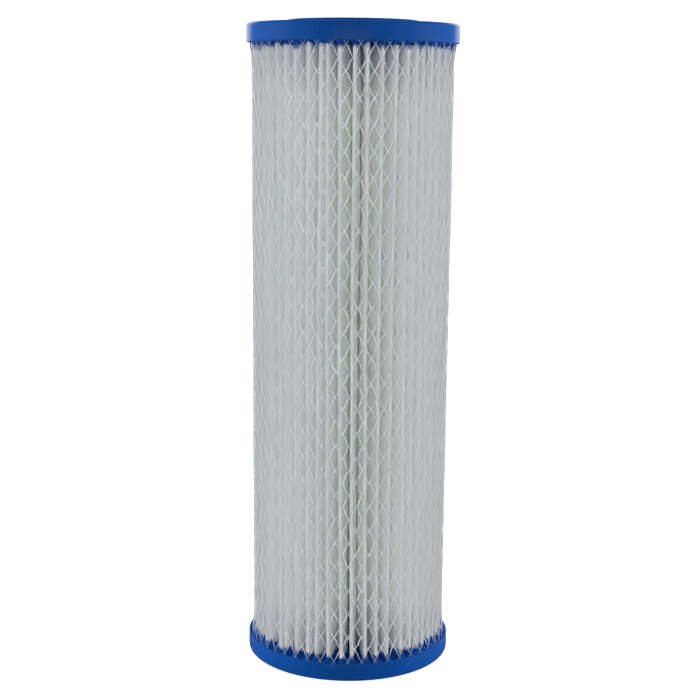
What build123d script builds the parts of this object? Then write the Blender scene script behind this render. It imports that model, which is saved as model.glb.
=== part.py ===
"""Pleated filter cartridge for a pool or spa, open at both ends.

A folded sheet of spunbonded polyester stands around a windowed core tube, inside a sleeve of
extruded diamond net. The ends of all three are cast into two soft PVC end caps, which also
carry the sealing rings. Nothing moves: the cartridge is one bonded assembly.

Millimetres, +Z up along the cartridge's axis. The origin is the centre of the lower sealing
face, on which the cartridge stands.
"""

from build123d import *
from math import cos, pi, sin, sqrt
import os

# Overall sizes
overall_length = 254.0  # from sealing face to sealing face
cap_diameter = 82.0

# End caps, both cast in the same mould
cap_rim_height = 7.2  # outer wall, from the flat outer face to the rim's edge
cap_floor = 3.0  # solid plastic beyond the ends of the media, core and net
cap_edge_radius = 1.4
seal_ring_height = 1.3  # raised sealing ring around the bore
seal_ring_diameter = 51.0
seal_ring_edge_radius = 0.6
bore_diameter = 27.0
bore_chamfer = 0.3
rim_lip = 0.8  # width of the rim's edge
meniscus_radius = 0.9  # the cast surface lies this far below the rim's edge

# Core tube
core_bore_gap = 0.5  # the core's bore stands back this far from the caps' bore
core_wall = 2.0
window_columns = 8  # even, because each cutter makes two opposite windows
window_width = 7.0
window_height = 7.5
window_pitch = 11.0
window_corner_radius = 1.0
window_end_margin = 4.0  # least plain tube between a cap's cast surface and a window

# Pleated media
pleat_count = 50
media_thickness = 0.5
fold_radius = 0.4  # of the sheet's middle line
media_core_gap = 0.2
media_net_gap = 0.1

# Side seam: the sheet's two free edges stand together with a glue bead between them
seam_depth = 6.0
seam_head_height = 0.35  # how far the bead's rounded head stands over the edges

# Outer net, two layers of strands that touch where they cross
net_cap_gap = 1.8  # the net's outside stands back this far from the caps' outside
strand_count = 46  # in each layer
strand_width = 0.5
strand_thickness = 0.4
diamond_height = 9.6

# Worked out from the above
cap_radius = cap_diameter / 2
bore_radius = bore_diameter / 2
cast_end = seal_ring_height + cap_floor  # height at which media, core and net start
rim_edge = seal_ring_height + cap_rim_height
cast_surface = rim_edge - meniscus_radius
cast_length = overall_length - 2 * cast_end
core_inner_radius = bore_radius + core_bore_gap
core_outer_radius = core_inner_radius + core_wall
net_outer_radius = cap_radius - net_cap_gap
half_thickness = media_thickness / 2
tip_radius = net_outer_radius - 2 * strand_thickness - media_net_gap
tip_centre_radius = tip_radius - fold_radius - half_thickness
root_centre_radius = core_outer_radius + media_core_gap + fold_radius + half_thickness
pleat_angle = 2 * pi / pleat_count


def polar(radius, turns):
    """The point at that radius, that many pleats round from the side seam."""
    return Vector(radius * cos(turns * pleat_angle), radius * sin(turns * pleat_angle))


def leg_ends(tip_number, side, offset):
    """Outer and inner end of one face of a pleat's leg, which touches an outer and an inner fold.

    Side is 1 for the leg on the outer fold's anticlockwise side, and -1 for the other. Offset is
    the face's distance from the sheet's middle line, positive on the face that looks outwards.
    """
    tip = polar(tip_centre_radius, tip_number)
    root = polar(root_centre_radius, tip_number + side / 2)
    along = (root - tip).normalized()
    lean = 2 * fold_radius / (root - tip).length
    sideways = Vector(along.Y, -along.X) * side
    normal = along * lean + sideways * sqrt(1 - lean**2)
    return tip + normal * (fold_radius + offset), root - normal * (fold_radius - offset)


def sheet_face(offset):
    """One face of the folded sheet, as edges from the seam round to the seam."""
    edges = []
    for number in range(pleat_count):
        outer_end, inner_end = leg_ends(number, 1, offset)
        next_outer, next_inner = leg_ends(number + 1, -1, offset)
        valley = polar(root_centre_radius - fold_radius + offset, number + 0.5)
        if number:
            crest = polar(tip_centre_radius + fold_radius + offset, number)
            edges.append(Edge.make_three_point_arc(edges[-1] @ 1, crest, outer_end))
        edges.append(Edge.make_line(outer_end, inner_end))
        edges.append(Edge.make_three_point_arc(inner_end, valley, next_inner))
        edges.append(Edge.make_line(next_inner, next_outer))
    return edges


def media_section():
    """The folded sheet seen from above, open at the side seam."""
    outward = sheet_face(half_thickness)
    inward = sheet_face(-half_thickness)
    first_edge = Edge.make_line(outward[0] @ 0, inward[0] @ 0)
    last_edge = Edge.make_line(outward[-1] @ 1, inward[-1] @ 1)
    return Face(Wire([*outward, last_edge, *inward, first_edge]))


def seam_section():
    """The glue bead between the sheet's free edges, with a rounded head over them."""
    shoulder, _ = leg_ends(0, 1, half_thickness)
    neck, foot = leg_ends(0, 1, -half_thickness)
    deep = neck + (foot - neck) * (seam_depth / (foot - neck).length)
    crest = Vector(shoulder.X + seam_head_height, 0)
    half = [shoulder, neck, deep]
    other_half = [Vector(point.X, -point.Y) for point in reversed(half)]
    sides = Polyline(*half, *other_half).edges()
    head = Edge.make_three_point_arc(other_half[-1], crest, shoulder)
    return Face(Wire([*sides, head]))


def core_section():
    """The core tube's ring."""
    outside = make_face(Circle(core_outer_radius).edges())
    inside = make_face(Circle(core_inner_radius).edges())
    return outside - inside


def standing(section, height=cast_length):
    """A section raised from the lower end of what is cast in."""
    return extrude(Pos(0, 0, cast_end) * section, height, dir=(0, 0, 1))


def strand(left_handed):
    """One strand of the net. The left-handed layer lies inside the other."""
    layer = net_outer_radius - strand_thickness * (1.5 if left_handed else 0.5)
    pitch = diamond_height * strand_count
    path = Pos(0, 0, cast_end) * Helix(pitch, cast_length, layer, lefthand=left_handed)
    start = Plane(origin=path @ 0, x_dir=(1, 0, 0), z_dir=path % 0)
    return sweep(start * Rectangle(strand_thickness, strand_width), path=path, is_frenet=True)


def net_strands():
    """Every strand of the net, evenly spaced round both layers."""
    layers = [strand(left_handed) for left_handed in (False, True)]
    turns = [Rot(0, 0, number * 360 / strand_count) for number in range(strand_count)]
    return [turn * layer for layer in layers for turn in turns]


def core_tube():
    """The moulded core, with rows of windows for the water."""
    first = cast_surface + window_end_margin + window_height / 2
    rows = int((overall_length - 2 * first) / window_pitch) + 1
    start = (overall_length - (rows - 1) * window_pitch) / 2
    outline = Plane.XZ * RectangleRounded(window_width, window_height, window_corner_radius)
    cutter = extrude(outline, core_outer_radius + core_wall, both=True)
    cutters = [
        Pos(0, 0, start + row * window_pitch) * Rot(0, 0, column * 360 / window_columns) * cutter
        for row in range(rows)
        for column in range(window_columns // 2)
    ]
    return standing(core_section()) - cutters


def cap_blank():
    """The lower cap before anything is cast into it."""
    ring_radius = seal_ring_diameter / 2
    lip_radius = cap_radius - rim_lip
    with BuildSketch(Plane.XZ) as section:
        with BuildLine():
            Polyline(
                (bore_radius, cast_surface),
                (bore_radius, bore_chamfer),
                (bore_radius + bore_chamfer, 0),
                (ring_radius - seal_ring_edge_radius, 0),
            )
            RadiusArc(
                (ring_radius - seal_ring_edge_radius, 0),
                (ring_radius, seal_ring_edge_radius),
                -seal_ring_edge_radius,
            )
            Polyline(
                (ring_radius, seal_ring_edge_radius),
                (ring_radius, seal_ring_height),
                (cap_radius - cap_edge_radius, seal_ring_height),
            )
            RadiusArc(
                (cap_radius - cap_edge_radius, seal_ring_height),
                (cap_radius, seal_ring_height + cap_edge_radius),
                -cap_edge_radius,
            )
            Polyline(
                (cap_radius, seal_ring_height + cap_edge_radius),
                (cap_radius, rim_edge),
                (lip_radius, rim_edge),
            )
            RadiusArc((lip_radius, rim_edge), (lip_radius - meniscus_radius, cast_surface), meniscus_radius)
            Line((lip_radius - meniscus_radius, cast_surface), (bore_radius, cast_surface))
        make_face()
    return revolve(section.sketch, Axis.Z)


def bottom_end_cap():
    """The lower cap, cast around the ends of the core, the media and the seam's bead."""
    sections = [core_section(), seam_section(), media_section()]
    return cap_blank() - [standing(section, cap_rim_height) for section in sections]


def save(shape, node):
    """Writes one node's STEP file."""
    shape.label = node
    export_step(shape, f"parts/{node}.step")


os.makedirs("parts", exist_ok=True)
lower_cap = bottom_end_cap()
save(lower_cap, "bottom_end_cap")
save(mirror(lower_cap, Plane.XY.offset(overall_length / 2)), "top_end_cap")
save(core_tube(), "core_tube")
save(standing(media_section()), "pleated_media")
save(standing(seam_section()), "side_seam_bead")
save(Compound(children=net_strands()), "outer_net")
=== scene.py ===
"""Looks for a pleated pool and spa filter cartridge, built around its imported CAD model.

The media, the net, both end caps and the glue bead of the side seam are modelled here in full,
and stand for the CAD nodes of the same names. The moulded core keeps its CAD mesh. Everything is
in metres in the CAD model's frame: +Z up, the origin at the centre of the lower sealing face.
"""

import logging
import math
import sys
from collections.abc import Callable, Mapping, Sequence
from dataclasses import dataclass, field
from enum import Enum
from functools import partial

import bpy
from mathutils import Euler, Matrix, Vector, noise

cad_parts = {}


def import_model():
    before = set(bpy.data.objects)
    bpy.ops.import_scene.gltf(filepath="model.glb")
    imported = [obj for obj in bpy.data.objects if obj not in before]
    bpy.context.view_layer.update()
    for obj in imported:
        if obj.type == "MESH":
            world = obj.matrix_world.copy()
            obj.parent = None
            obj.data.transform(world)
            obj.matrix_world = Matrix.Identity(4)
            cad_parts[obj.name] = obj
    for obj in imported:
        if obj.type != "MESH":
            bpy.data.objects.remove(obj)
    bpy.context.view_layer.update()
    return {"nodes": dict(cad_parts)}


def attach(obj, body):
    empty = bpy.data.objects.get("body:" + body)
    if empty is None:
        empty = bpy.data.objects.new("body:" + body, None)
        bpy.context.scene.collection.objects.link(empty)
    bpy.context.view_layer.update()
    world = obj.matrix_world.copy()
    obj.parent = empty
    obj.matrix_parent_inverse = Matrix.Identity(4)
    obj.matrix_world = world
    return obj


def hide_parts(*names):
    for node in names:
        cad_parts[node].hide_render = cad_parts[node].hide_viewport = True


log = logging.getLogger("cartridge")
Adder = Callable[..., bpy.types.Node]  # add_node, bound to one tree

MM = 0.001
ONE_BODY = "root"
WALL_CLAMP = 1.5  # a sheet's wall stays thinner than this many of its shortest edges
LEVEL = (1.0, 1.0, 0.0)  # times a place, it leaves the part across the axis
NOISE_SPAN = {"From Min": 0.3, "From Max": 0.7}  # where most of a noise's values lie
WIDE_NOISE_SPAN = {"From Min": 0.25, "From Max": 0.75}
EVEN_SPAN = {"Min": -1.0, "Max": 1.0}


class End(Enum):
    """Which end of the cartridge a cap is on. The value is the way its cast surface rises."""

    BOTTOM = 1
    TOP = -1


class Winding(Enum):
    """The hand of one set of the net's strands. The value is the sign of its turn."""

    RIGHT = 1
    LEFT = -1


@dataclass(frozen=True)
class Sizes:
    """The sizes that several pieces share, as the CAD model has them."""

    length: float = 254.0 * MM
    cap_radius: float = 41.0 * MM
    cast_end: float = 4.3 * MM  # where the media, the core and the net start inside a cap
    cast_surface: float = 7.6 * MM
    rim_edge: float = 8.5 * MM
    core_radius: float = 16.0 * MM
    tip_radius: float = 38.55 * MM
    net_radius: float = 39.2 * MM
    pleats: int = 50


def linear(code: str) -> tuple[float, float, float, float]:
    """Turns an sRGB colour into the linear one that shaders take.

    Args:
        code: Six hex digits, red first.

    Returns:
        Linear red, green and blue, and an alpha of one.
    """
    shares = [int(code[i : i + 2], 16) / 255 for i in (0, 2, 4)]
    red, green, blue = (s / 12.92 if s <= 0.04045 else ((s + 0.055) / 1.055) ** 2.4 for s in shares)
    return red, green, blue, 1.0


def per(length_mm: float) -> float:
    """The texture scale, on coordinates in metres, whose features are that many millimetres across."""
    return 1 / (length_mm * MM)


def add_node(
    tree: bpy.types.NodeTree, kind: str, inputs: Mapping[str | int, object] | None = None, **settings: object
) -> bpy.types.Node:
    """Adds a node, sets it up, and fills in its inputs.

    Args:
        tree: The shader or geometry tree that gets the node.
        kind: Blender's name for the kind of node.
        inputs: What goes into each input, named or numbered. A node stands for its first output in use.
        **settings: The node's own properties, which are set first.

    Returns:
        The new node.
    """
    node = tree.nodes.new(kind)
    for name, value in settings.items():
        setattr(node, name, value)
    for name, value in (inputs or {}).items():
        if isinstance(name, int):
            socket = node.inputs[name]
        else:
            socket = next(s for s in node.inputs if s.enabled and s.name == name)
        if isinstance(value, bpy.types.Node):
            value = next(s for s in value.outputs if s.enabled)
        if isinstance(value, bpy.types.NodeSocket):
            tree.links.new(value, socket)
        else:
            socket.default_value = value
    return node


def mesh_object(
    name: str, points: Sequence[Sequence[float]], faces: Sequence[Sequence[int]]
) -> bpy.types.Object:
    """Makes an object from points and faces, and puts it in the scene.

    Args:
        name: The piece's name.
        points: The vertices, in metres.
        faces: The vertex numbers of each face, anticlockwise seen from outside.

    Returns:
        The object, at the origin.
    """
    mesh = bpy.data.meshes.new(name)
    mesh.from_pydata(points, [], faces)
    mesh.update()
    piece = bpy.data.objects.new(name, mesh)
    bpy.context.scene.collection.objects.link(piece)
    return piece


def grid_faces(
    rows: int, columns: int, close_rows: bool = False, close_columns: bool = False
) -> list[tuple[int, ...]]:
    """The quads of a grid of points numbered row by row.

    Args:
        rows: How many rows of points there are.
        columns: How many points there are in a row.
        close_rows: Whether the last row joins the first.
        close_columns: Whether the last point of a row joins its first.

    Returns:
        One tuple of four point numbers for each quad.
    """
    faces = []
    for row in range(rows if close_rows else rows - 1):
        here, above = row * columns, (row + 1) % rows * columns
        for column in range(columns if close_columns else columns - 1):
            beside = (column + 1) % columns
            faces.append((here + column, here + beside, above + beside, above + column))
    return faces


def circle(radius: float, height: float, count: int) -> list[tuple[float, float, float]]:
    """Places points evenly round a level circle about the axis.

    Args:
        radius: The circle's radius, in metres.
        height: Its height.
        count: How many points stand for it.

    Returns:
        The points, anticlockwise from +X.
    """
    angles = (2 * math.pi * k / count for k in range(count))
    return [(radius * math.cos(a), radius * math.sin(a), height) for a in angles]


def bearing_vector(angle: float) -> Vector:
    """The level unit vector at that angle from +X, in radians."""
    return Vector((math.cos(angle), math.sin(angle), 0))


class Recipe:
    """A Geometry Nodes tree with named inputs, which is run once on an object and then taken off."""

    def __init__(self, name: str) -> None:
        """Starts an empty tree.

        Args:
            name: The tree's name.
        """
        self.tree = bpy.data.node_groups.new(name, "GeometryNodeTree")
        self.tree.interface.new_socket("Geometry", in_out="INPUT", socket_type="NodeSocketGeometry")
        self.tree.interface.new_socket("Geometry", in_out="OUTPUT", socket_type="NodeSocketGeometry")
        self.start = add_node(self.tree, "NodeGroupInput")
        self.values: dict[str, object] = {}

    def given(self, name: str, value: object) -> bpy.types.NodeSocket:
        """Adds a named input.

        Args:
            name: What the input is called.
            value: A length or number, a count, a material or an object.

        Returns:
            The socket that carries the input's value inside the tree.
        """
        kinds = {float: "Float", int: "Int", bpy.types.Material: "Material", bpy.types.Object: "Object"}
        kind = "NodeSocket" + kinds[type(value)]
        item = self.tree.interface.new_socket(name, in_out="INPUT", socket_type=kind)
        self.values[item.identifier] = value
        return self.start.outputs[name]

    def add(
        self, kind: str, inputs: Mapping[str | int, object] | None = None, **settings: object
    ) -> bpy.types.Node:
        """Adds a node to this tree, as add_node does."""
        return add_node(self.tree, kind, inputs, **settings)

    def run(
        self, piece: bpy.types.Object, result: bpy.types.Node, finish: "Finish", thickness: float = 0.0
    ) -> None:
        """Applies the tree to an object, smoothed and with its finish, and leaves a plain mesh.

        Args:
            piece: The object, whose mesh the tree starts from.
            result: The tree's last node.
            finish: The piece's finish.
            thickness: The wall to give an open sheet afterwards, half on each side of it.
        """
        smooth = self.add("GeometryNodeSetShadeSmooth", {"Geometry": result})
        material = self.given("Material", finish.material())
        dressed = self.add("GeometryNodeSetMaterial", {"Geometry": smooth, "Material": material})
        self.add("NodeGroupOutput", {"Geometry": dressed})
        modifier = piece.modifiers.new(self.tree.name, "NODES")
        modifier.node_group = self.tree
        for identifier, value in self.values.items():
            modifier[identifier] = value
        if thickness:
            wall = piece.modifiers.new("wall", "SOLIDIFY")
            wall.thickness = thickness
            wall.offset = 0.0
            wall.use_even_offset = True
            wall.thickness_clamp = WALL_CLAMP
        graph = bpy.context.evaluated_depsgraph_get()
        finished = piece.evaluated_get(graph)
        mesh = bpy.data.meshes.new_from_object(finished, preserve_all_data_layers=True, depsgraph=graph)
        mesh.name = piece.name
        piece.modifiers.clear()
        piece.data = mesh


@dataclass(frozen=True)
class Finish:
    """What every finish has: a name, and a Principled shader that its own nodes feed."""

    name: str

    def begin(self) -> tuple[bpy.types.Material, Adder, bpy.types.NodeSocket]:
        """Starts the material.

        Returns:
            The material, what adds its nodes, and the piece's own coordinates in metres.
        """
        material = bpy.data.materials.new(self.name)
        material.use_nodes = True
        material.node_tree.nodes.clear()
        add = partial(add_node, material.node_tree)
        return material, add, add("ShaderNodeTexCoord").outputs["Object"]

    def feed(self, add: Adder, inputs: Mapping[str, object]) -> None:
        """Adds the Principled shader with those inputs, and the material's output."""
        shader = add("ShaderNodeBsdfPrincipled", inputs)
        add("ShaderNodeOutputMaterial", {"Surface": shader})


def scattering(weight: float, depth: float) -> dict[str, object]:
    """The Principled inputs of a plastic that scatters every colour alike, that many metres deep."""
    spread = {"Subsurface Radius": (1.0, 1.0, 1.0), "Subsurface Scale": depth}
    return {"Subsurface Weight": weight, **spread}


def rise_above_casting(add: Adder, place: bpy.types.NodeSocket, sizes: Sizes) -> bpy.types.Node:
    """The height above the nearer cap's cast surface, in metres.

    Args:
        add: Adds a node to the material.
        place: The piece's own coordinates.
        sizes: The cartridge's sizes.

    Returns:
        The node that gives the height.
    """
    height = add("ShaderNodeSeparateXYZ", {"Vector": place}).outputs["Z"]
    from_middle = add("ShaderNodeMath", {0: height, 1: sizes.length / 2}, operation="SUBTRACT")
    aside = add("ShaderNodeMath", {0: from_middle}, operation="ABSOLUTE")
    reach = sizes.length / 2 - sizes.cast_surface
    return add("ShaderNodeMath", {0: reach, 1: aside}, operation="SUBTRACT")


@dataclass(frozen=True)
class CastPlastisol(Finish):
    """Soft PVC plastisol, poured into a heated mould round the ends of the media and cured there.

    The mould leaves a smooth, slightly waxy satin skin with a faint orange peel, and the pigment
    settles in broad, barely darker clouds.
    """

    light: str = "0F62C6"
    deep: str = "0D5AB9"
    smoothest: float = 0.2
    dullest: float = 0.28

    def material(self) -> bpy.types.Material:
        """Builds the material.

        Returns:
            The material.
        """
        material, add, place = self.begin()
        clouds = add("ShaderNodeTexNoise", {"Vector": place, "Scale": per(14), "Detail": 3.0})
        shades = {"A": linear(self.light), "B": linear(self.deep)}
        colour = add("ShaderNodeMix", {"Factor": clouds, **shades}, data_type="RGBA")
        handling = add("ShaderNodeTexNoise", {"Vector": place, "Scale": per(5), "Detail": 5.0})
        span = {**NOISE_SPAN, "To Min": self.smoothest, "To Max": self.dullest}
        dull = add("ShaderNodeMapRange", {"Value": handling, **span})
        peel = add("ShaderNodeTexNoise", {"Vector": place, "Scale": per(0.9), "Detail": 2.0})
        bump = add("ShaderNodeBump", {"Height": peel, "Strength": 0.25, "Distance": 0.04 * MM})
        fed = {"Base Color": colour, "Roughness": dull, "Normal": bump, "IOR": 1.5}
        self.feed(add, {**fed, "Specular IOR Level": 0.2})
        return material


@dataclass(frozen=True)
class SpunbondPolyester(Finish):
    """Spunbonded polyester felt: endless filaments laid at random, and bonded between hot rollers.

    The rollers leave it matt with a faint sheen, cloudy where more filaments fell, and streaked
    along the folds. Light passes through a single sheet. Where the cap was cast, plastisol has
    climbed between the filaments and dyed them. Painted light and shade are laid into the colour:
    painted shade on the flanks a few mm inside an outer fold, whiter felt painted deeper in a pleat
    to stand for light reaching its floor, and a grey-blue painted shade inside the pleats near the caps.
    """

    sizes: Sizes = field(kw_only=True)
    bright: str = "F4F8FD"
    cloudy: str = "EEF3F9"
    # painted shade: the flanks just inside an outer fold are coloured darker and greener
    painted_flank_shade: str = "E6ECE7"
    # painted light: the felt deep in a pleat is coloured whiter, so that the pleats' floors stay bright
    painted_deep_light: str = "FDFDFA"
    dye: str = "12479A"
    # painted shade: a grey-blue colour laid inside the pleats near the caps
    painted_shade: str = "93A0AE"
    least_climb: float = 0.8 * MM
    most_climb: float = 3.6 * MM
    painted_shade_height: float = 24.0 * MM
    most_painted_shade: float = 0.55

    def sheet(self, add: Adder, place: bpy.types.NodeSocket) -> tuple[bpy.types.Node, bpy.types.Node]:
        """Colours the felt by its clouds, with painted shade on the flanks and painted light deeper in a
        pleat.

        Args:
            add: Adds a node to the material.
            place: The piece's own coordinates.

        Returns:
            The node that gives the colour, and the one that gives the depth as a share of a few mm.
        """
        noise_inputs = {"Vector": place, "Scale": per(2.2), "Detail": 5.0, "Roughness": 0.6}
        formation = add("ShaderNodeTexNoise", noise_inputs)
        shades = {"A": linear(self.bright), "B": linear(self.cloudy)}
        fabric = add("ShaderNodeMix", {"Factor": formation, **shades}, data_type="RGBA")
        across = add("ShaderNodeVectorMath", {0: place, 1: LEVEL}, operation="MULTIPLY")
        radius = add("ShaderNodeVectorMath", {0: across}, operation="LENGTH")
        tip = self.sizes.tip_radius
        # Painted shade on the flanks a few mm inside an outer fold, then painted light deeper in.
        depth, far_in = (
            add("ShaderNodeMapRange", {"Value": radius, "From Min": tip - near, "From Max": tip - far})
            for near, far in ((0.6 * MM, 6 * MM), (7 * MM, 13 * MM))
        )
        beside = {"Factor": depth, "A": fabric, "B": linear(self.painted_flank_shade)}
        inside = {"A": add("ShaderNodeMix", beside, data_type="RGBA"), "B": linear(self.painted_deep_light)}
        return add("ShaderNodeMix", {"Factor": far_in, **inside}, data_type="RGBA"), depth

    def climbed(self, add: Adder, place: bpy.types.NodeSocket) -> tuple[bpy.types.Node, bpy.types.Node]:
        """Finds where plastisol has climbed the felt, along a ragged edge, and how much painted shade lies
        above it near the cap.

        Args:
            add: Adds a node to the material.
            place: The piece's own coordinates.

        Returns:
            The node that gives how soaked the felt is, and the one that gives how much painted shade lies
            there.
        """
        rise = rise_above_casting(add, place, self.sizes)
        ragged = add("ShaderNodeTexNoise", {"Vector": place, "Scale": per(3.5), "Detail": 4.0})
        span = {**NOISE_SPAN, "To Min": self.least_climb, "To Max": self.most_climb}
        climb = add("ShaderNodeMapRange", {"Value": ragged, **span})
        over = add("ShaderNodeMath", {0: rise, 1: climb}, operation="SUBTRACT")
        edge = {"Value": over, "From Min": 1.8 * MM, "From Max": -0.6 * MM}
        soaked = add("ShaderNodeMapRange", edge, interpolation_type="SMOOTHSTEP")
        # Painted shade near the caps, fading out with the height above the casting.
        fade = {"Value": over, "From Min": self.painted_shade_height, "From Max": 0.0, "To Max": self.most_painted_shade}
        return soaked, add("ShaderNodeMapRange", fade, interpolation_type="SMOOTHERSTEP")

    def material(self) -> bpy.types.Material:
        """Builds the material.

        Returns:
            The material.
        """
        material, add, place = self.begin()
        sheet, depth = self.sheet(add, place)
        soaked, shade_fade = self.climbed(add, place)
        # Painted shade near the caps, stronger deeper inside a pleat.
        deeper = add("ShaderNodeMath", {0: depth, 1: 0.35}, operation="POWER")
        painted_shade_share = add("ShaderNodeMath", {0: shade_fade, 1: deeper}, operation="MULTIPLY")
        shades = {"A": sheet, "B": linear(self.painted_shade)}
        shaded_felt = add("ShaderNodeMix", {"Factor": painted_shade_share, **shades}, data_type="RGBA")
        shades = {"A": shaded_felt, "B": linear(self.dye)}
        colour = add("ShaderNodeMix", {"Factor": soaked, **shades}, data_type="RGBA")
        matt = add("ShaderNodeMapRange", {"Value": soaked, "To Min": 0.82, "To Max": 0.5})
        along = add("ShaderNodeMapping", {"Vector": place, "Scale": (1.0, 1.0, 0.03)})
        streaks = add("ShaderNodeTexNoise", {"Vector": along, "Scale": per(1.1), "Detail": 3.0})
        # Filaments are 0.02 mm thick; they are drawn as a felt about ten times as coarse, so that it shows.
        noise_inputs = {"Vector": place, "Scale": per(0.35), "Detail": 4.0, "Roughness": 0.7}
        felt = add("ShaderNodeTexNoise", noise_inputs)
        rough = add("ShaderNodeMath", {0: felt, 1: streaks}, operation="ADD")
        bump = add("ShaderNodeBump", {"Height": rough, "Strength": 0.35, "Distance": 0.08 * MM})
        fed = {"Base Color": colour, "Roughness": matt, "Normal": bump, "IOR": 1.45}
        self.feed(add, {**fed, "Sheen Weight": 0.08, **scattering(1.0, 1.3 * MM)})
        return material


@dataclass(frozen=True)
class ExtrudedNet(Finish):
    """Natural polyethylene net, extruded as a tube of crossing strands.

    It is milky white and slightly glossy, with a faint unevenness drawn out along the strands, and
    its ends are dyed where they stand in the casting.
    """

    sizes: Sizes = field(kw_only=True)
    milky: str = "FAFCFD"
    clear: str = "F0F4F7"
    dye: str = "7396CB"
    undyed_above: float = 5.2 * MM
    dyed_below: float = 1.4 * MM

    def material(self) -> bpy.types.Material:
        """Builds the material.

        Returns:
            The material.
        """
        material, add, place = self.begin()
        uneven = add("ShaderNodeTexNoise", {"Vector": place, "Scale": per(4), "Detail": 2.0})
        shades = {"A": linear(self.milky), "B": linear(self.clear)}
        strand = add("ShaderNodeMix", {"Factor": uneven, **shades}, data_type="RGBA")
        rise = rise_above_casting(add, place, self.sizes)
        edge = {"Value": rise, "From Min": self.undyed_above, "From Max": self.dyed_below}
        soaked = add("ShaderNodeMapRange", edge, interpolation_type="SMOOTHSTEP")
        shades = {"A": strand, "B": linear(self.dye)}
        colour = add("ShaderNodeMix", {"Factor": soaked, **shades}, data_type="RGBA")
        gloss = add("ShaderNodeMapRange", {"Value": uneven, "To Min": 0.25, "To Max": 0.42})
        fed = {"Base Color": colour, "Roughness": gloss, "IOR": 1.51}
        self.feed(add, {**fed, "Transmission Weight": 0.1})
        return material


@dataclass(frozen=True)
class MouldedPolypropylene(Finish):
    """Natural white polypropylene, injection moulded.

    It has a fine spark-eroded grain, a soft gloss, and pale flow clouds between its windows.
    """

    light: str = "F6F7F6"
    dark: str = "EEF0EF"

    def material(self) -> bpy.types.Material:
        """Builds the material.

        Returns:
            The material.
        """
        material, add, place = self.begin()
        flow = add("ShaderNodeTexNoise", {"Vector": place, "Scale": per(9), "Detail": 2.0})
        shades = {"A": linear(self.light), "B": linear(self.dark)}
        colour = add("ShaderNodeMix", {"Factor": flow, **shades}, data_type="RGBA")
        grain = add("ShaderNodeTexNoise", {"Vector": place, "Scale": per(0.3), "Detail": 2.0})
        gloss = add("ShaderNodeMapRange", {"Value": grain, "To Min": 0.36, "To Max": 0.52})
        bump = add("ShaderNodeBump", {"Height": grain, "Strength": 0.2, "Distance": 0.02 * MM})
        fed = {"Base Color": colour, "Roughness": gloss, "Normal": bump, "IOR": 1.49}
        self.feed(add, {**fed, **scattering(0.15, 1.2 * MM)})
        return material


@dataclass(frozen=True)
class HotMeltGlue(Finish):
    """Hot-melt glue, run as a bead between the media's two free edges.

    It set glossy and slightly cream, with ripples where the nozzle slowed.
    """

    pale: str = "EDEBDF"
    cream: str = "E0DCC8"

    def material(self) -> bpy.types.Material:
        """Builds the material.

        Returns:
            The material.
        """
        material, add, place = self.begin()
        ripples = add("ShaderNodeTexNoise", {"Vector": place, "Scale": per(2.5), "Detail": 3.0})
        shades = {"A": linear(self.pale), "B": linear(self.cream)}
        colour = add("ShaderNodeMix", {"Factor": ripples, **shades}, data_type="RGBA")
        gloss = add("ShaderNodeMapRange", {"Value": ripples, "To Min": 0.22, "To Max": 0.4})
        bump = add("ShaderNodeBump", {"Height": ripples, "Strength": 0.3, "Distance": 0.15 * MM})
        fed = {"Base Color": colour, "Roughness": gloss, "Normal": bump, "IOR": 1.48}
        self.feed(add, {**fed, "Subsurface Weight": 0.2, "Subsurface Scale": 0.8 * MM})
        return material


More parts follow.
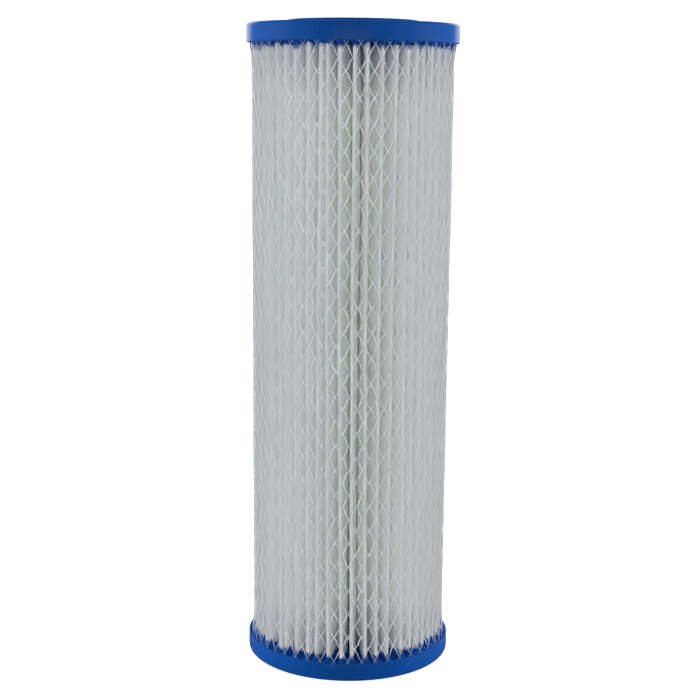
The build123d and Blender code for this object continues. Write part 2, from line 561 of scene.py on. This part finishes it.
@dataclass
class PleatedMedia:
    """The folded sheet. Its folds lean, sway and stand in and out a little, as hand-loaded ones do."""

    sizes: Sizes
    finish: SpunbondPolyester
    thickness: float = 0.45 * MM
    fold: float = 0.65 * MM  # radius of the sheet's middle line at an outer fold
    root_fold: float = 0.4 * MM
    root_gap: float = 0.25 * MM
    belly: float = 0.36 * MM  # both legs stand out of line by this much, half-way down the pleat
    rows: int = 40
    leg_steps: int = 7
    fold_steps: int = 6
    lean: float = 1.35 * MM
    sway: float = 0.35 * MM
    least_bow: float = 0.2 * MM
    most_bow: float = 1.2 * MM
    uneven: float = 0.35 * MM
    twist: float = -1.3 * MM
    seed_below: int = 138340
    seed_above: int = 358079
    seed_depth: int = 9

    def profile(self) -> list[Vector]:
        """The middle line of one pleat, its outer fold on +X, from one inner fold's middle to the next.

        Returns:
            The points, on z = 0.
        """
        half = math.pi / self.sizes.pleats
        tip = Vector((self.sizes.tip_radius - self.thickness / 2 - self.fold, 0, 0))
        root_radius = self.sizes.core_radius + self.root_gap + self.thickness / 2 + self.root_fold
        root = root_radius * bearing_vector(half)
        between = root - tip
        bearing = math.atan2(between.y, between.x)
        turn = bearing - math.acos((self.fold + self.root_fold) / between.length)
        out = bearing_vector(turn)
        half_steps = self.fold_steps // 2
        upper = [tip + self.fold * bearing_vector(turn * k / half_steps) for k in range(half_steps + 1)]
        leg_start, leg_end = upper[-1], root - self.root_fold * out
        for step in range(1, self.leg_steps + 1):
            share = step / self.leg_steps
            belly = self.belly * math.sin(math.pi * share) ** 2
            upper.append(leg_start.lerp(leg_end, share) + belly * out)
        upper.append(root - self.root_fold * bearing_vector((turn + half) / 2))
        upper.append(root - self.root_fold * bearing_vector(half))
        lower = [Vector((p.x, -p.y, 0)) for p in reversed(upper[1:])]
        return lower + upper

    def one_pleat(self) -> bpy.types.Object:
        """Makes the strip that the whole pack repeats.

        Returns:
            The strip, named as the finished piece.
        """
        line = self.profile()
        low, high = self.sizes.cast_end, self.sizes.length - self.sizes.cast_end
        heights = [low + (high - low) * r / (self.rows - 1) for r in range(self.rows)]
        points = [(p.x, p.y, z) for z in heights for p in line]
        return mesh_object("media_pleats", points, grid_faces(self.rows, len(line)))

    def repeated(self, recipe: Recipe) -> bpy.types.Node:
        """Repeats the strip round the axis as one sheet, each pleat knowing its number.

        Args:
            recipe: The pleat pack's tree.

        Returns:
            The node that gives the sheet.
        """
        add = recipe.add
        count = recipe.given("Pleats", self.sizes.pleats)
        number = add("GeometryNodeInputIndex")
        turn = add("ShaderNodeMath", {0: 2 * math.pi, 1: count}, operation="DIVIDE")
        bearing = add("ShaderNodeMath", {0: number, 1: turn}, operation="MULTIPLY")
        facing = add("ShaderNodeCombineXYZ", {"Z": bearing})
        placed = {"Instance": recipe.start.outputs[0], "Rotation": facing}
        spots = add("GeometryNodePoints", {"Count": count})
        strips = add("GeometryNodeInstanceOnPoints", {"Points": spots, **placed})
        named = {"Geometry": strips, "Name": "pleat", "Value": number}
        numbered = add("GeometryNodeStoreNamedAttribute", named, data_type="INT", domain="INSTANCE")
        sheet = add("GeometryNodeRealizeInstances", {"Geometry": numbered})
        return add("GeometryNodeMergeByDistance", {"Geometry": sheet, "Distance": 0.01 * MM})

    def leaning(self, recipe: Recipe, place: bpy.types.Node, pleat: bpy.types.Node) -> bpy.types.Node:
        """Works out how far each outer fold stands to one side at each height.

        Args:
            recipe: The pleat pack's tree.
            place: The sheet's points.
            pleat: The number of each point's pleat.

        Returns:
            The node that gives the shift, in metres.
        """
        add = recipe.add
        height = add("ShaderNodeSeparateXYZ", {"Vector": place}).outputs["Z"]
        length = recipe.given("Length", self.sizes.length)
        upwards = add("ShaderNodeMapRange", {"Value": height, "From Max": length})
        below, above = (
            add("FunctionNodeRandomValue", {**EVEN_SPAN, "ID": pleat, "Seed": recipe.given(name, seed)})
            for name, seed in (("Seed Below", self.seed_below), ("Seed Above", self.seed_above))
        )
        own_lean = add("ShaderNodeMix", {"Factor": upwards, "A": below, "B": above})
        lean = {0: own_lean, 1: recipe.given("Lean", self.lean)}
        leaned = add("ShaderNodeMath", lean, operation="MULTIPLY")
        slow = add("ShaderNodeTexNoise", {"Vector": place, "Scale": per(110), "Detail": 1.0})
        swung = add("ShaderNodeMapRange", {"Value": slow, **WIDE_NOISE_SPAN, "To Min": -1.0, "To Max": 1.0})
        sway = {0: swung, 1: recipe.given("Sway", self.sway), 2: leaned}
        swayed = add("ShaderNodeMath", sway, operation="MULTIPLY_ADD")
        twist = {0: upwards, 1: recipe.given("Twist", self.twist), 2: swayed}
        return add("ShaderNodeMath", twist, operation="MULTIPLY_ADD")

    def build(self) -> bpy.types.Object:
        """Repeats the strip round the core, opens it at the seam, then lets the folds wander.

        Returns:
            The finished sheet.
        """
        piece = self.one_pleat()
        recipe = Recipe("pleat_pack")
        add = recipe.add
        joined = self.repeated(recipe)
        tip = recipe.given("Tip Radius", self.sizes.tip_radius)
        root = recipe.given("Root Radius", self.sizes.core_radius)
        place = add("GeometryNodeInputPosition")
        across = add("ShaderNodeVectorMath", {0: place, 1: LEVEL}, operation="MULTIPLY")
        radius = add("ShaderNodeVectorMath", {0: across}, operation="LENGTH")
        pleat = add("GeometryNodeInputNamedAttribute", {"Name": "pleat"}, data_type="INT")

        # The sheet's free edges stand at the seam's pleat, whose outer fold is left open for the glue.
        is_seam = add("FunctionNodeCompare", {"A": pleat, "B": 0}, data_type="INT", operation="EQUAL")
        opening = add("ShaderNodeMath", {0: tip, 1: self.fold + self.thickness / 2}, operation="SUBTRACT")
        ends = {"A": radius, "B": opening}
        at_fold = add("FunctionNodeCompare", ends, data_type="FLOAT", operation="GREATER_THAN")
        fold_of_seam = add("FunctionNodeBooleanMath", {0: is_seam, 1: at_fold}, operation="AND")
        cut = {"Geometry": joined, "Selection": fold_of_seam}
        opened = add("GeometryNodeDeleteGeometry", cut, domain="FACE")

        span = {"Value": radius, "From Min": root, "From Max": tip}
        outwards = add("ShaderNodeMapRange", span, interpolation_type="SMOOTHSTEP")
        free = add("ShaderNodeMath", {0: 1.0, 1: is_seam}, operation="SUBTRACT")
        share = add("ShaderNodeMath", {0: outwards, 1: free}, operation="MULTIPLY")
        shift = self.leaning(recipe, place, pleat)
        at_tip = add("ShaderNodeMath", {0: shift, 1: share}, operation="MULTIPLY")

        # Between its folds a leg is not flat: it bows to one side, most at the middle of its depth,
        # where the product of the depth's two shares is a quarter.
        inwards = add("ShaderNodeMath", {0: 1.0, 1: outwards}, operation="SUBTRACT")
        hump = add("ShaderNodeMath", {0: share, 1: inwards}, operation="MULTIPLY")
        quick = add("ShaderNodeTexNoise", {"Vector": place, "Scale": per(35), "Detail": 1.0})
        limits = {"To Min": 4 * self.least_bow, "To Max": 4 * self.most_bow}
        bow = add("ShaderNodeMapRange", {"Value": quick, **WIDE_NOISE_SPAN, **limits})
        total = add("ShaderNodeMath", {0: hump, 1: bow, 2: at_tip}, operation="MULTIPLY_ADD")
        angle = add("ShaderNodeMath", {0: total, 1: radius}, operation="DIVIDE")
        turned = add("ShaderNodeVectorRotate", {"Vector": place, "Angle": angle}, rotation_type="Z_AXIS")

        seed = recipe.given("Seed Depth", self.seed_depth)
        stand_in = add("FunctionNodeRandomValue", {"Min": 0.0, "Max": 1.0, "ID": pleat, "Seed": seed})
        uneven = recipe.given("Uneven Depth", self.uneven)
        pulled = add("ShaderNodeMath", {0: stand_in, 1: uneven}, operation="MULTIPLY")
        own_pull = add("ShaderNodeMath", {0: pulled, 1: share}, operation="MULTIPLY")
        ratio = add("ShaderNodeMath", {0: own_pull, 1: radius}, operation="DIVIDE")
        shrink = add("ShaderNodeMath", {0: 1.0, 1: ratio}, operation="SUBTRACT")
        scale = add("ShaderNodeCombineXYZ", {"X": shrink, "Y": shrink, "Z": 1.0})
        settled = add("ShaderNodeVectorMath", {0: turned, 1: scale}, operation="MULTIPLY")
        moved = add("GeometryNodeSetPosition", {"Geometry": opened, "Position": settled})
        recipe.run(piece, moved, self.finish, self.thickness)
        return piece


@dataclass
class OuterNet:
    """The sleeve of diamond net over the pleats: two sets of strands, welded where they cross."""

    sizes: Sizes
    finish: ExtrudedNet
    strands: int = 46
    diamond: float = 9.6 * MM
    strand_radius: float = 0.17 * MM
    sunk: float = 0.2 * MM  # the inner set's centre lines lie this far inside the outer set's
    pinch: float = 0.2 * MM
    flare: float = 0.75 * MM
    flare_height: float = 9.0 * MM
    wander: float = 0.45 * MM
    most_slack: float = 0.25 * MM
    least_slack: float = 0.05 * MM
    sides: int = 6
    steps: int = 150

    def layer(
        self, recipe: Recipe, count: bpy.types.NodeSocket, winding: Winding, radius: float
    ) -> bpy.types.Node:
        """Adds one set of strands to the tree, as centre lines.

        Args:
            recipe: The net's tree.
            count: How many strands the set has.
            winding: The set's hand.
            radius: The set's radius, in metres.

        Returns:
            The node that gives the curves, each point knowing the sign of its strand's turn.
        """
        add = recipe.add
        height = self.sizes.length - 2 * self.sizes.cast_end
        turns = height / (self.diamond * self.strands)
        helix = add(
            "GeometryNodeCurveSpiral",
            {
                **{"Start Radius": radius, "End Radius": radius, "Height": height, "Rotations": turns},
                **{"Resolution": int(self.steps / turns), "Reverse": winding is Winding.LEFT},
            },
        )
        number = add("GeometryNodeInputIndex")
        bearing = add("ShaderNodeMath", {0: number, 1: 2 * math.pi / self.strands}, operation="MULTIPLY")
        placed = {"Instance": helix, "Rotation": add("ShaderNodeCombineXYZ", {"Z": bearing})}
        spots = add("GeometryNodePoints", {"Count": count, "Position": (0.0, 0.0, self.sizes.cast_end)})
        around = add("GeometryNodeInstanceOnPoints", {"Points": spots, **placed})
        real = add("GeometryNodeRealizeInstances", {"Geometry": around})
        named = {"Geometry": real, "Name": "hand", "Value": float(winding.value)}
        return add("GeometryNodeStoreNamedAttribute", named, data_type="FLOAT", domain="POINT")

    def build(self) -> bpy.types.Object:
        """Winds both sets of strands, and lets them pinch at the welds and flare into the caps.

        Returns:
            The finished net.
        """
        piece = mesh_object("outer_sleeve_net", [(0.0, 0.0, 0.0)], [])
        recipe = Recipe("diamond_net")
        add = recipe.add
        count = recipe.given("Strands", self.strands)
        thick = recipe.given("Strand Radius", self.strand_radius)
        half_diamond = recipe.given("Half Diamond", self.diamond / 2)
        pinch = recipe.given("Pinch", self.pinch)
        flare = recipe.given("Flare", self.flare)
        wander = recipe.given("Wander", self.wander)
        outer = self.sizes.net_radius - self.strand_radius
        both = add("GeometryNodeJoinGeometry")
        for winding, radius in ((Winding.RIGHT, outer), (Winding.LEFT, outer - self.sunk)):
            recipe.tree.links.new(self.layer(recipe, count, winding, radius).outputs[0], both.inputs[0])

        place = add("GeometryNodeInputPosition")
        height = add("ShaderNodeSeparateXYZ", {"Vector": place}).outputs["Z"]
        climbed = add("ShaderNodeMath", {0: height, 1: self.sizes.cast_end}, operation="SUBTRACT")
        welds = add("ShaderNodeMath", {0: climbed, 1: half_diamond}, operation="DIVIDE")
        phase = add("ShaderNodeMath", {0: welds, 1: 2 * math.pi}, operation="MULTIPLY")
        wave = add("ShaderNodeMath", {0: phase}, operation="SINE")
        hand = add("GeometryNodeInputNamedAttribute", {"Name": "hand"}, data_type="FLOAT")
        pull = add("ShaderNodeMath", {0: hand, 1: pinch}, operation="MULTIPLY")
        pinched = add("ShaderNodeMath", {0: wave, 1: pull}, operation="MULTIPLY")
        slow = add("ShaderNodeTexNoise", {"Vector": place, "Scale": per(16), "Detail": 2.0})
        drift = add("ShaderNodeMath", {0: slow, 1: 0.5}, operation="SUBTRACT")
        wandered = add("ShaderNodeMath", {0: drift, 1: wander}, operation="MULTIPLY")
        twice = add("ShaderNodeMath", {0: wandered, 1: 2.0}, operation="MULTIPLY")
        aside = add("ShaderNodeMath", {0: twice, 1: pinched}, operation="SUBTRACT")
        angle = add("ShaderNodeMath", {0: aside, 1: self.sizes.net_radius}, operation="DIVIDE")
        turned = add("ShaderNodeVectorRotate", {"Vector": place, "Angle": angle}, rotation_type="Z_AXIS")

        from_middle = add("ShaderNodeMath", {0: height, 1: self.sizes.length / 2}, operation="SUBTRACT")
        reach = add("ShaderNodeMath", {0: from_middle}, operation="ABSOLUTE")
        end = self.sizes.length / 2 - self.sizes.cast_surface
        span = {"Value": reach, "From Min": end - self.flare_height, "From Max": end}
        opened = add("ShaderNodeMapRange", span, interpolation_type="SMOOTHERSTEP")
        spread = add("ShaderNodeMath", {0: opened, 1: flare}, operation="MULTIPLY")
        loose = add("ShaderNodeTexNoise", {"Vector": place, "Scale": per(22), "Detail": 1.0})
        limits = {"To Min": -self.most_slack, "To Max": -self.least_slack}
        slack = add("ShaderNodeMapRange", {"Value": loose, **NOISE_SPAN, **limits})
        radial = add("ShaderNodeMath", {0: spread, 1: slack}, operation="ADD")
        ratio = add("ShaderNodeMath", {0: radial, 1: self.sizes.net_radius}, operation="DIVIDE")
        grow = add("ShaderNodeMath", {0: ratio, 1: 1.0}, operation="ADD")
        scale = add("ShaderNodeCombineXYZ", {"X": grow, "Y": grow, "Z": 1.0})
        settled = add("ShaderNodeVectorMath", {0: turned, 1: scale}, operation="MULTIPLY")
        moved = add("GeometryNodeSetPosition", {"Geometry": both, "Position": settled})
        section = add("GeometryNodeCurvePrimitiveCircle", {"Resolution": self.sides, "Radius": thick})
        drawn = {"Curve": moved, "Profile Curve": section, "Fill Caps": True}
        recipe.run(piece, add("GeometryNodeCurveToMesh", drawn), self.finish)
        return piece


@dataclass
class EndCap:
    """One cast end cap. Its cast surface climbs the media it was poured round."""

    sizes: Sizes
    finish: CastPlastisol
    end: End
    bore_radius: float = 13.5 * MM
    bore_chamfer: float = 0.3 * MM
    ring_radius: float = 25.5 * MM
    ring_width: float = 6.0 * MM
    ring_height: float = 1.3 * MM
    ring_edge: float = 0.6 * MM
    ring_fillet: float = 0.3 * MM
    outer_edge: float = 1.4 * MM
    lip: float = 0.8 * MM
    lip_edge: float = 0.22 * MM
    meniscus: float = 0.9 * MM
    meniscus_freedom: float = 0.35
    ring_step: float = 0.6 * MM  # how far apart the cast surface's rings of points are
    columns: int = 800
    rise: float = 2.4 * MM
    least_rise: float = 0.55
    most_rise: float = 1.25
    reach: float = 0.95 * MM

    def arc(
        self, centre: tuple[float, float], radius: float, start: float, stop: float, steps: int
    ) -> list[tuple[float, float]]:
        """Points along an arc of the section.

        Args:
            centre: The arc's centre, as radius and height.
            radius: The arc's own radius.
            start: Where it starts, in degrees from outwards towards up.
            stop: Where it stops.
            steps: How many chords stand for it.

        Returns:
            The points, both ends included.
        """
        angles = (math.radians(start + (stop - start) * k / steps) for k in range(steps + 1))
        return [(centre[0] + radius * math.cos(a), centre[1] + radius * math.sin(a)) for a in angles]

    def section(self) -> list[tuple[float, float, float]]:
        """The lower cap's outline, from the cast surface by the bore, round the outside and back.

        Returns:
            For each point its radius, its height, and how freely it may rise along the media.
        """
        s = self.sizes
        lip_inside = s.cap_radius - self.lip
        outline = [(self.bore_radius, s.cast_surface), (self.bore_radius, s.cast_surface / 2)]
        outline += [(self.bore_radius, self.bore_chamfer), (self.bore_radius + self.bore_chamfer, 0.0)]
        outline += [(self.ring_radius - self.ring_width, 0.0)]
        edge = self.ring_edge
        outline += self.arc((self.ring_radius - edge, edge), edge, -90, 0, 5)
        edge = self.ring_fillet
        outline += self.arc((self.ring_radius + edge, self.ring_height - edge), edge, 180, 90, 3)
        outline += [(s.cap_radius - 8 * MM, self.ring_height)]
        edge = self.outer_edge
        outline += self.arc((s.cap_radius - edge, self.ring_height + edge), edge, -90, 0, 8)
        outline += [(s.cap_radius, s.rim_edge - 3 * MM)]
        edge = self.lip_edge
        outline += self.arc((s.cap_radius - edge, s.rim_edge - edge), edge, 0, 90, 4)
        outline += self.arc((lip_inside + edge, s.rim_edge - edge), edge, 90, 150, 3)
        inside = [(r, z, 0.0) for r, z in outline]
        bowl = self.arc((lip_inside - self.meniscus, s.rim_edge), self.meniscus, -12, -90, 6)
        inside += [(r, z, self.meniscus_freedom) for r, z in bowl]
        first, last = lip_inside - self.meniscus, s.core_radius
        rings = int((first - last) / self.ring_step)
        inside += [(first + (last - first) * k / rings, s.cast_surface, 1.0) for k in range(1, rings + 1)]
        inside += [(s.core_radius - 1.0 * MM, s.cast_surface, 0.0)]
        return inside

    def build(self, media: bpy.types.Object) -> bpy.types.Object:
        """Turns the section round the axis, then draws the cast surface up against the media.

        Args:
            media: The finished media, which the plastic climbs.

        Returns:
            The finished cap.
        """
        section = self.section()
        flip = self.end is End.TOP
        points = []
        for radius, z, _ in section:
            points += circle(radius, self.sizes.length - z if flip else z, self.columns)
        faces = grid_faces(len(section), self.columns, close_rows=True, close_columns=True)
        if flip:
            faces = [tuple(reversed(quad)) for quad in faces]
        piece = mesh_object(f"{self.end.name.lower()}_cap_casting", points, faces)
        freedom = piece.data.attributes.new("freedom", "FLOAT", "POINT")
        freedom.data.foreach_set("value", [f for _, _, f in section for _ in range(self.columns)])
        recipe = Recipe(f"{self.end.name.lower()}_cap_meniscus")
        add = recipe.add
        sheet = add("GeometryNodeObjectInfo", {"Object": recipe.given("Media", media)}).outputs["Geometry"]
        rise = recipe.given("Rise", self.rise * self.end.value)
        reach = recipe.given("Reach", self.reach)
        near = add("GeometryNodeProximity", {"Geometry": sheet}, target_element="FACES").outputs["Distance"]
        fade = add("ShaderNodeMath", {0: near, 1: reach}, operation="DIVIDE")
        minus = add("ShaderNodeMath", {0: fade, 1: -1.0}, operation="MULTIPLY")
        film = add("ShaderNodeMath", {0: minus}, operation="EXPONENT")
        place = add("GeometryNodeInputPosition")
        patchy = add("ShaderNodeTexNoise", {"Vector": place, "Scale": per(3), "Detail": 2.0})
        limits = {"To Min": self.least_rise, "To Max": self.most_rise}
        varied = add("ShaderNodeMapRange", {"Value": patchy, **NOISE_SPAN, **limits})
        climbed = add("ShaderNodeMath", {0: film, 1: varied}, operation="MULTIPLY")
        free = add("GeometryNodeInputNamedAttribute", {"Name": "freedom"}, data_type="FLOAT")
        allowed = add("ShaderNodeMath", {0: climbed, 1: free}, operation="MULTIPLY")
        lift = add("ShaderNodeMath", {0: allowed, 1: rise}, operation="MULTIPLY")
        offset = add("ShaderNodeCombineXYZ", {"Z": lift})
        drawn = add("GeometryNodeSetPosition", {"Geometry": recipe.start.outputs[0], "Offset": offset})
        recipe.run(piece, drawn, self.finish)
        return piece


@dataclass
class SideSeam:
    """The glue bead between the media's free edges, on +X, standing a little proud of them."""

    sizes: Sizes
    finish: HotMeltGlue
    width: float = 1.5 * MM
    depth: float = 6.0 * MM
    sides: int = 14
    rows: int = 180
    ripple: float = 0.12 * MM
    ripple_length: float = 3.0 * MM
    sunk: float = 0.1 * MM  # how far inside the pleats' tips the bead's head ends
    taper: float = 0.75  # the width behind the head, as a share of the head's

    def build(self) -> bpy.types.Object:
        """Makes the bead, a drop-shaped section drawn out along the seam and rippled.

        Returns:
            The finished bead.
        """
        low, high = self.sizes.cast_end, self.sizes.length - self.sizes.cast_end
        head = self.width / 2
        centre = self.sizes.tip_radius - head - self.sunk
        points = []
        for row in range(self.rows):
            z = low + (high - low) * row / (self.rows - 1)
            for side in range(self.sides):
                angle = 2 * math.pi * side / self.sides
                out, across = math.cos(angle), math.sin(angle)
                swell = self.ripple * noise.noise(Vector((out, across, z / self.ripple_length)))
                x = (head if out > 0 else self.depth) * out
                y = head * across * (1 if out > 0 else self.taper)
                points.append((centre + x + swell * out, y + swell * across, z))
        faces = grid_faces(self.rows, self.sides, close_columns=True)
        faces += [tuple(reversed(range(self.sides)))]
        faces += [tuple(range((self.rows - 1) * self.sides, self.rows * self.sides))]
        piece = mesh_object("seam_glue_bead", points, faces)
        piece.data.materials.append(self.finish.material())
        piece.data.shade_smooth()
        return piece


@dataclass
class Studio:
    """A pale floor, soft light from both sides and above, and the camera."""

    felt: Sequence[bpy.types.Object]
    castings: Sequence[bpy.types.Object]
    distance: float = 0.5726
    camera_height: float = 0.2301
    pitch: float = 11.70
    roll: float = 0.526
    lens: float = 74.65
    shift_up: float = 0.0494
    aim_height: float = 0.127
    reach: float = 5.0  # how far out the floor and the backdrop's wall are, in metres
    segments: int = 64

    def camera(self) -> bpy.types.Object:
        """Sets up the camera.

        Returns:
            The camera.
        """
        data = bpy.data.cameras.new("camera")
        data.lens = self.lens
        data.sensor_width = 36.0
        data.shift_y = self.shift_up
        data.clip_start = 0.01
        camera = bpy.data.objects.new("camera", data)
        camera.location = (0.0, -self.distance, self.camera_height)
        tilt = Euler((math.radians(90 - self.pitch), 0.0, 0.0)).to_matrix()
        about_view = Euler((0.0, 0.0, math.radians(self.roll))).to_matrix()
        camera.rotation_euler = (tilt @ about_view).to_euler()
        bpy.context.scene.collection.objects.link(camera)
        bpy.context.scene.camera = camera
        return camera

    def lamp(
        self,
        name: str,
        place: tuple[float, float, float],
        size: tuple[float, float],
        power: float,
        mirrored: bool = False,
        only: Sequence[bpy.types.Object] = (),
    ) -> bpy.types.Object:
        """Hangs a soft rectangular lamp that faces the middle of the cartridge.

        Args:
            name: The lamp's name.
            place: Where it hangs, in metres.
            size: Its width and height, in metres.
            power: Its power, in watts.
            mirrored: Whether glossy pieces show its reflection.
            only: The pieces it lights, where flags keep it off the others. Without any it lights them all.

        Returns:
            The lamp.
        """
        data = bpy.data.lights.new(name, "AREA")
        data.shape = "RECTANGLE"
        data.size, data.size_y = size
        data.energy = power
        lamp = bpy.data.objects.new(name, data)
        lamp.location = place
        lamp.visible_glossy = mirrored
        line = Vector((0.0, 0.0, self.aim_height)) - Vector(place)
        lamp.rotation_euler = line.to_track_quat("-Z", "Y").to_euler()
        bpy.context.scene.collection.objects.link(lamp)
        if only:
            lit = bpy.data.collections.new(f"{name}_lights")
            for piece in only:
                lit.objects.link(piece)
            lamp.light_linking.receiver_collection = lit
        return lamp

    def paper(self, name: str, glow: float) -> bpy.types.Material:
        """The matt white paper of the floor and backdrop.

        Args:
            name: The material's name.
            glow: How much light it gives of its own, as if lit from behind.

        Returns:
            The material.
        """
        material = bpy.data.materials.new(name)
        material.use_nodes = True
        shader = material.node_tree.nodes["Principled BSDF"]
        shader.inputs["Base Color"].default_value = linear("F4F4F4")
        shader.inputs["Roughness"].default_value = 0.9
        shader.inputs["Specular IOR Level"].default_value = 0.0
        shader.inputs["Emission Color"].default_value = (1.0, 1.0, 1.0, 1.0)
        shader.inputs["Emission Strength"].default_value = glow
        return material

    def floor(self) -> bpy.types.Object:
        """Lays the round floor.

        Returns:
            The floor.
        """
        rim = circle(self.reach, 0.0, self.segments)
        floor = mesh_object("floor", rim, [tuple(range(self.segments))])
        floor.data.materials.append(self.paper("white_paper_floor", 0.97))
        floor.visible_diffuse = False
        floor.visible_glossy = False
        return floor

    def backdrop(self) -> bpy.types.Object:
        """Hangs the white backdrop all round, which only the camera sees.

        Returns:
            The backdrop.
        """
        rows = [(self.reach, -0.5), (self.reach, 2.0), (3.5, 3.5), (0.01, 4.5)]
        points = [point for radius, z in rows for point in circle(radius, z, self.segments)]
        faces = [tuple(reversed(quad)) for quad in grid_faces(len(rows), self.segments, close_columns=True)]
        backdrop = mesh_object("backdrop", points, faces)
        backdrop.data.materials.append(self.paper("white_paper_backdrop", 1.2))
        for name in ("visible_diffuse", "visible_glossy", "visible_transmission", "visible_shadow"):
            setattr(backdrop, name, False)
        return backdrop

    def light(self) -> None:
        """Sets the even light of the room and the lamps."""
        world = bpy.data.worlds.new("studio")
        world.use_nodes = True
        world.node_tree.nodes["Background"].inputs["Color"].default_value = linear("F2F6FA")
        world.node_tree.nodes["Background"].inputs["Strength"].default_value = 0.12
        bpy.context.scene.world = world
        for side, name in ((-1, "left"), (1, "right")):
            self.lamp(f"{name}_softbox", (side * 0.85, 0.6, 0.25), (0.7, 1.1), 5.4)
            self.lamp(f"{name}_fill", (side * 1.0, 0.0, 0.2), (0.7, 0.9), 7.0, only=self.castings)
            self.lamp(f"{name}_strip", (side * 0.85, -0.72, 0.3), (0.16, 0.9), 0.35, mirrored=True)
            self.lamp(f"{name}_back_softbox", (side * 0.75, 1.6, 0.4), (0.9, 1.2), 4.5, mirrored=True)
        self.lamp("overhead", (0.0, 0.45, 1.25), (0.9, 0.9), 6.0)
        self.lamp("front_softbox", (0.0, -1.5, 0.3), (1.0, 0.7), 19.0, only=self.felt)
        self.lamp("front_fill", (0.0, -1.5, 0.1), (1.0, 0.5), 5.0, only=self.castings)

    def build(self) -> None:
        """Sets up the whole studio, and shows its light plainly."""
        self.camera()
        self.floor()
        self.backdrop()
        self.light()
        scene = bpy.context.scene
        scene.view_settings.view_transform = "Standard"
        # Light goes through many folds of the felt before it leaves the pack.
        scene.cycles.diffuse_bounces = 12
        scene.cycles.max_bounces = 24


def claim(piece: bpy.types.Object, node: str) -> None:
    """Fixes a finished piece to the cartridge, in place of its CAD node.

    Args:
        piece: The finished piece.
        node: The CAD node that it stands for.
    """
    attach(piece, ONE_BODY)
    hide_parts(node)
    piece.data.calc_loop_triangles()
    log.info("%s stands for %s: %d triangles", piece.name, node, len(piece.data.loop_triangles))


def main() -> None:
    """Loads the CAD model, then builds and dresses every piece."""
    logging.basicConfig(level=logging.INFO, format="%(message)s", stream=sys.stdout)
    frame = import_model()
    sizes = Sizes()

    media = PleatedMedia(sizes, SpunbondPolyester("spunbond_polyester", sizes=sizes)).build()
    claim(media, "pleated_media")
    bead = SideSeam(sizes, HotMeltGlue("hot_melt_glue")).build()
    claim(bead, "side_seam_bead")
    net = OuterNet(sizes, ExtrudedNet("extruded_polyethylene_net", sizes=sizes)).build()
    claim(net, "outer_net")
    plastisol = CastPlastisol("cast_blue_plastisol")
    caps = [EndCap(sizes, plastisol, end).build(media) for end in End]
    for end, cap in zip(End, caps):
        claim(cap, f"{end.name.lower()}_end_cap")
    core = frame["nodes"]["core_tube"]
    core.data.materials.clear()
    core.data.materials.append(MouldedPolypropylene("moulded_polypropylene").material())
    log.info("core_tube keeps its CAD mesh")

    Studio(felt=[media, bead, net, core], castings=caps).build()


if __name__ == "__main__":
    main()
